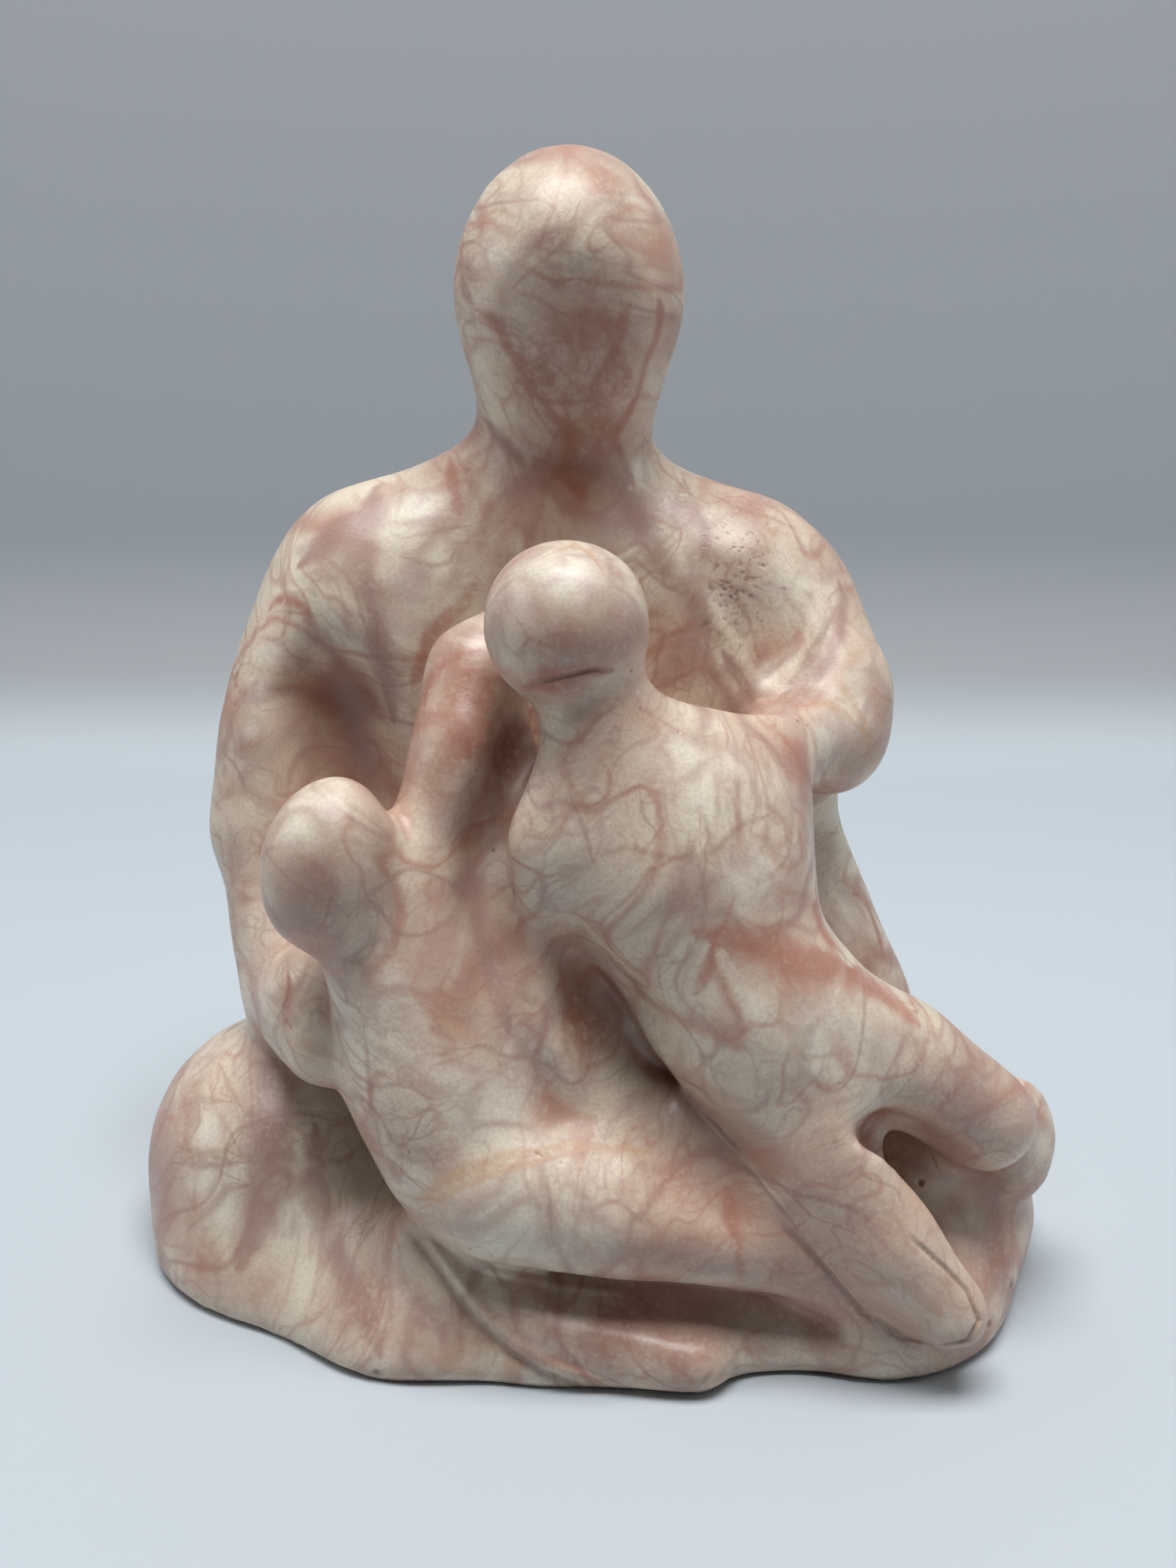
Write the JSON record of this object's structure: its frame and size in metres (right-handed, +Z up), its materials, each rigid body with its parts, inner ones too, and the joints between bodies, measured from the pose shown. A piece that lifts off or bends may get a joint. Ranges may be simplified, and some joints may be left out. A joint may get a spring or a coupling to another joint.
{
  "type": "family group sculpture",
  "caption": "Faceless seated grown figure holding climbing children in its arms and lap, carved as one block of pink veined alabaster with a flat underside.",
  "frame": {"origin": "middle of the flat underside, on the surface it stands on", "axes": "+Z up to the crown of the grown figure; the carving faces -Y, with +X on the viewer's right"},
  "size_m": [0.2573, 0.1683, 0.3004],
  "materials": {
    "pink_alabaster": "satin hand polish, cream alabaster with pink and rust veins"
  },
  "bodies": {
    "root": {"family_group": "pink_alabaster"}
  },
  "joints": []
}
